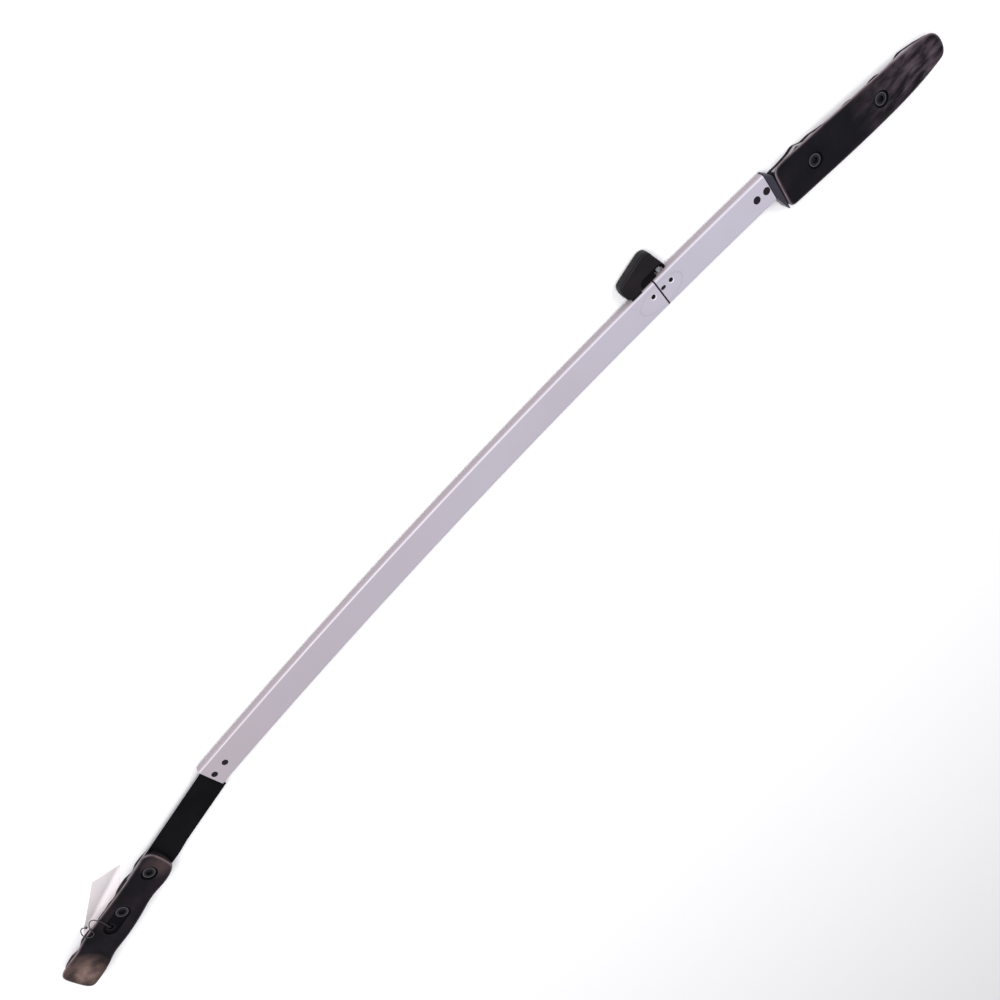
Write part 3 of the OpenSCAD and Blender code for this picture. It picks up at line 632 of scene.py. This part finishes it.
def grip_piece(scale, materials):
    """One grip scale, from the settings that make_grips gives it."""
    place, sign = grip_frame(scale["grip"]), scale["sign"]
    tang_z, face_z = scale["tang_z"], scale["face_z"]
    outline = spaced(filleted([Vector(p) for p in scale["outline"]], GRIP_CORNER_R), GRIP_GAP)
    if scale["edge"]:
        outline = notched(outline, scale["edge"])
    outline = [p * MM for p in softened(spaced(outline, GRIP_GAP), 10)]
    profile = scale_profile(tang_z, face_z, sign, scale["bevel"])
    lean = scale["lean"] and (scale["lean"], LEAN * MM, (face_z - 0.8) * MM, tang_z * MM)
    made = object_from("grip_" + scale["node"], slab(outline, profile, place, lean), 24)
    cutters = bolt_cutters(place, scale["bolts"], face_z, sign, *scale["seats"])
    if scale["lanyard"]:
        cutters.append(straight_hole(TUBE_HOLE_R, CUT_FROM, CUT_TO,
                                     through_hole(place, LANYARD, sign)))
    if scale["recess"]:
        cutters.append(stadium_cutter(place, LOWER_BOLTS[1], LANYARD, RECESS_R, face_z - 1.5,
                                      face_z + 2, sign))
    cut(made, cutters, [materials["rubber"], materials["shade"]])
    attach(made, scale["body"])
    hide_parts(scale["node"])


def make_grips(materials):
    """The four scales. seats holds the radii of a bolt's head seat and of the bore over it."""
    usual = {"face_z": 8, "recess": False, "seats": (5.3, 6.6), "bevel": 1}
    front, back = {"sign": 1, "edge": None}, {"sign": -1, "lean": 0}
    upper = {**usual, "grip": UPPER_GRIP, "outline": UPPER_OUTLINE, "tang_z": 1.5,
             "bolts": UPPER_BOLTS, "body": "upper_section", "lanyard": False}
    lower = {**usual, "grip": LOWER_GRIP, "outline": LOWER_OUTLINE, "tang_z": 1,
             "bolts": LOWER_BOLTS, "body": "saw", "lanyard": True}
    for scale in (
            {**upper, **front, "node": "upper_front_scale", "lean": 1},
            {**upper, **back, "node": "upper_back_scale", "edge": UPPER_BACK_EDGE},
            {**lower, **front, "node": "lower_front_scale", "lean": -1, "recess": True},
            {**lower, **back, "node": "lower_back_scale", "edge": LOWER_BACK_EDGE, "face_z": 7.6,
             "seats": (4.7, 5.0), "bevel": 0.4}):
        grip_piece(scale, materials)


# ---- Clamp lever

CLAMP_AT = 195 * MM
PIVOT = Vector((-5, 28))
LEVER_FLOOR = 14.2
CAM_R = 12.4
CAM_FROM_DEG, CAM_TO_DEG = 234, 304
LEVER_TOP = [(28.1, LEVER_FLOOR), (22.5, 37.4), (17.5, 39.3), (-11.8, 31.5), (-13.8, 27),
             (-12.9, 19)]
CAM_STEPS = 12
LUG_BOSS_R, SLOT_T = 4, 3.8
LUG_ROOM = [(-30, 5), (14, 5), (14, 14), PIVOT + Vector((3, 3.2)), PIVOT + Vector((-2.75, 3.4)),
            (-30, 14.2)]
PIN_HOLE_R = 1.55
# The room under the lever for the adjuster's nut, and the adjuster's own hole
NUT_ROOM = (17, 10, -3.6), (25, 20.2, 8.4)
ADJUSTER_X, ADJUSTER_R = 21, 2.1
HOLLOW_Y = 17


def lever_outline():
    """The lever's outline, from its free end round the top to the cam and back along its floor."""
    centre = PIVOT - Vector((0, 1))
    sweep = CAM_TO_DEG - CAM_FROM_DEG
    turns = (math.radians(CAM_FROM_DEG + k * sweep / CAM_STEPS) for k in range(CAM_STEPS + 1))
    cam = [centre + CAM_R * Vector((math.cos(a), math.sin(a))) for a in turns]
    return [Vector(p) for p in LEVER_TOP] + cam + [Vector((3.8, LEVER_FLOOR))]


def make_lever(materials):
    """The lever, with a slot for the bracket's lugs and the holes that the small parts sit in."""
    place = bow_frame(CLAMP_AT)
    outline = [p * MM for p in softened(spaced(filleted(lever_outline(), 3.4), 0.5), 12)]
    edge = [(0, 2.4, 0), (0.08, 3.3, 0.1), (0.3, 4.0, 0.5), (0.7, 4.6, 1), (1.1, 4.9, 0.6),
            (1.5, 5, 0.1)]
    steps = [(d, -z, w * 0.4) for d, z, w in reversed(edge)] + edge
    profile = [(d * MM, z * MM, w) for d, z, w in steps]
    made = object_from("lever_body", slab(outline, profile, place), 50)

    lug_room = [Vector(p) * MM for p in LUG_ROOM]
    walls = [(0, -SLOT_T / 2 * MM, 0), (0, SLOT_T / 2 * MM, 0)]
    pin = place @ Matrix.Translation((PIVOT.x * MM, PIVOT.y * MM, 0))
    hollow = place @ Matrix.Translation((0, HOLLOW_Y * MM, 0))
    upright = Matrix.Rotation(math.radians(-90), 4, "X")
    screw = place @ Matrix.Translation((ADJUSTER_X * MM, 0, 0)) @ upright
    cutters = [
        object_from("cutter", slab(lug_room, walls, place)),
        block_cutter(place, *NUT_ROOM),
        straight_hole(LUG_BOSS_R + 0.5, -SLOT_T / 2, SLOT_T / 2, pin),
        straight_hole(PIN_HOLE_R, -8, 4.5, pin),
        stadium_cutter(hollow, 7, 21, 5.5, 2.6, 9, 1),
        straight_hole(ADJUSTER_R, 5, 30, screw),
    ]
    cut(made, cutters, [materials["lever"], materials["shade"]])
    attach(made, "clamp_lever")
    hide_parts("clamp_lever")


# ---- Hang tag and its string

CARD_CORNER = Vector((-434.05, 27.83, 0)) * MM
CARD_TURN = 219
CARD_SIZE = (78, 28.4)
CARD_HOLE = (62.9, 2.6)
CARD_T = 0.3
CARD_HOLE_R = 1.5
CARD_LIFT = 0.05
# The free corner's height, how far from it along the card the curl starts, and its soft start
CURL_H, CURL_LEN, CURL_SOFT = 14.3, 69, 0.06
CURL_DRAW = Vector((2.5, -3.7, 0))

# The thread's points: from the lanyard hole over the grip's face to its edge, and
# down past the edge to the card's hole
STRING_ROUTE = [
    (-486.3, -38.9, 3), (-486.3, -38.7, 5.4), (-486, -38, 7.2), (-485.2, -35, 8.7),
    (-484.2, -31.2, 8.9), (-483.5, -27.4, 8.9), (-483.7, -24.3, 8.8), (-484.8, -21.6, 7.8),
    (-486.8, -20.4, 5.9), (-489.5, -20.3, 4.6), (-492, -20.9, 4.8), (-493.8, -22.2, 6.6),
    (-494.5, -24, 8.5), (-494.8, -26.7, 9.2), (-496, -29, 9.2), (-498.3, -29.6, 9.2),
    (-500.6, -28.6, 9.2), (-502.2, -26.4, 8.8), (-503.4, -24.4, 7), (-504.1, -23.5, 4.2),
    (-504.7, -23.4, 1), (-504.9, -24.2, -2.2), (-504.9, -26.7, -5.2), (-504.9, -30.6, -6.9),
]
ROUTE_ORIGIN = Vector((-23.45, -16.93, -8))
THREAD_R = 0.45
KNOT_R, KNOT_SPREAD, KNOT_TURN = 0.62, 0.45, 2.1


def curl(x, y):
    """How far the card is curled up at a point, from 0 where it is flat to 1 at its free corner."""
    share = max(0.0, 1 + CURL_SOFT - x / CURL_LEN - y / CARD_SIZE[1])
    return share ** 2 / (4 * CURL_SOFT) if share < 2 * CURL_SOFT else share - CURL_SOFT


def make_tag(materials):
    """A card that lies flat under the grip and curls up straight towards its free corner."""
    bm = bmesh.new()
    cols, rows = 52, 19
    turn = Matrix.Rotation(math.radians(CARD_TURN), 4, "Z")
    grid = []
    for i in range(cols + 1):
        line = []
        for k in range(rows + 1):
            x, y = CARD_SIZE[0] * i / cols, CARD_SIZE[1] * k / rows
            share = curl(x, y)
            lift = Vector((0, 0, CARD_LIFT + CURL_H * share))
            at = (turn @ Vector((x, y, 0)) + CURL_DRAW * share + lift) * MM
            line.append(bm.verts.new(CARD_CORNER + at))
        grid.append(line)
    for i in range(cols):
        for k in range(rows):
            bm.faces.new((grid[i][k], grid[i + 1][k], grid[i + 1][k + 1], grid[i][k + 1]))
    made = object_from("tag_card", bm, 60)
    if made.data.polygons[0].normal.z < 0:
        made.data.flip_normals()
    thick = made.modifiers.new("thick", "SOLIDIFY")
    thick.thickness, thick.offset = CARD_T * MM, 1
    hole = Matrix.Translation(CARD_CORNER + turn @ Vector((*CARD_HOLE, 0)) * MM)
    cut(made, [straight_hole(CARD_HOLE_R, -2, 2, hole)], [materials["card"], materials["card"]])
    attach(made, "saw")
    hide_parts("hang_tag")
    return made


def string_route():
    """The thread's points in the CAD's frame."""
    return [(Vector(point) - ROUTE_ORIGIN) * MM for point in STRING_ROUTE]


def make_knot(materials):
    """The knot that holds the thread at the card's hole: three small lobes."""
    bm = bmesh.new()
    end = string_route()[-1]
    for k in range(3):
        a = KNOT_TURN * k
        lobe = Vector((math.cos(a), math.sin(a), 0.5 * (k - 1))) * KNOT_SPREAD * MM
        bmesh.ops.create_icosphere(bm, subdivisions=3, radius=KNOT_R * MM,
                                   matrix=Matrix.Translation(end + lobe))
    made = object_from("tag_knot", bm, 60)
    made.data.materials.append(materials["string"])
    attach(made, "saw")
    return made


def make_string(materials, pieces):
    route = string_route()
    curve = bpy.data.curves.new("tag_thread", "CURVE")
    curve.dimensions, curve.bevel_depth, curve.bevel_resolution = "3D", THREAD_R * MM, 3
    curve.resolution_u = 6
    spline = curve.splines.new("NURBS")
    spline.points.add(len(route) - 1)
    for point, at in zip(spline.points, route):
        point.co = [*at, 1]
    spline.order_u, spline.use_endpoint_u = 3, True
    made = new_object("tag_thread", curve)
    made.data.materials.append(materials["string"])
    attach(made, "saw")
    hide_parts("tag_string")


# ---- Stage

def make_camera():
    data = bpy.data.cameras.new("camera")
    data.lens, data.sensor_width = CAMERA_LENS_MM, 36
    camera = new_object("camera", data)
    ahead = Vector(CAMERA_LOOKS_AT) - Vector(CAMERA_AT)
    level = ahead.to_track_quat("-Z", "Y").to_matrix().to_4x4()
    roll = Matrix.Rotation(math.radians(CAMERA_ROLL), 4, "Z")
    camera.matrix_world = Matrix.Translation(CAMERA_AT) @ level @ roll
    bpy.context.scene.camera = camera


def area_light(name, at, size, power):
    """A round soft light that faces the middle of the saw."""
    data = bpy.data.lights.new(name, "AREA")
    data.shape, data.size, data.energy = "DISK", size, power
    light = new_object(name, data)
    light.location = at
    light.rotation_mode = "QUATERNION"
    light.rotation_quaternion = (-Vector(at)).to_track_quat("-Z", "Y")


def make_stage():
    """A white floor, a dim white sky and two lights."""
    bpy.context.scene.view_settings.view_transform = "Standard"
    bm = bmesh.new()
    bmesh.ops.create_circle(bm, cap_ends=True, segments=96, radius=8)
    floor = object_from("floor", bm)
    look = Look("floor_paper", roughness=0.9, specular=0.2)
    look.colour(look.mix(look.noise(0.6, 2), srgb(246, 245, 247), srgb(249, 249, 250)))
    floor.data.materials.append(look.material)
    world = bpy.data.worlds.new("studio")
    bpy.context.scene.world = world
    world.use_nodes = True
    background = world.node_tree.nodes["Background"]
    background.inputs["Color"].default_value = (0.97, 0.97, 1.0, 1)
    background.inputs["Strength"].default_value = 0.45
    area_light("key", (-0.5, 1.4, 2.05), 1.8, 59)
    area_light("fill", (1.6, 0.9, 1.6), 1.6, 22)


make_camera()
make_stage()
finishes = make_materials()
tag = make_tag(finishes)
make_string(finishes, [tag, make_knot(finishes)])
finish_cad(finishes)
make_grips(finishes)
make_lever(finishes)
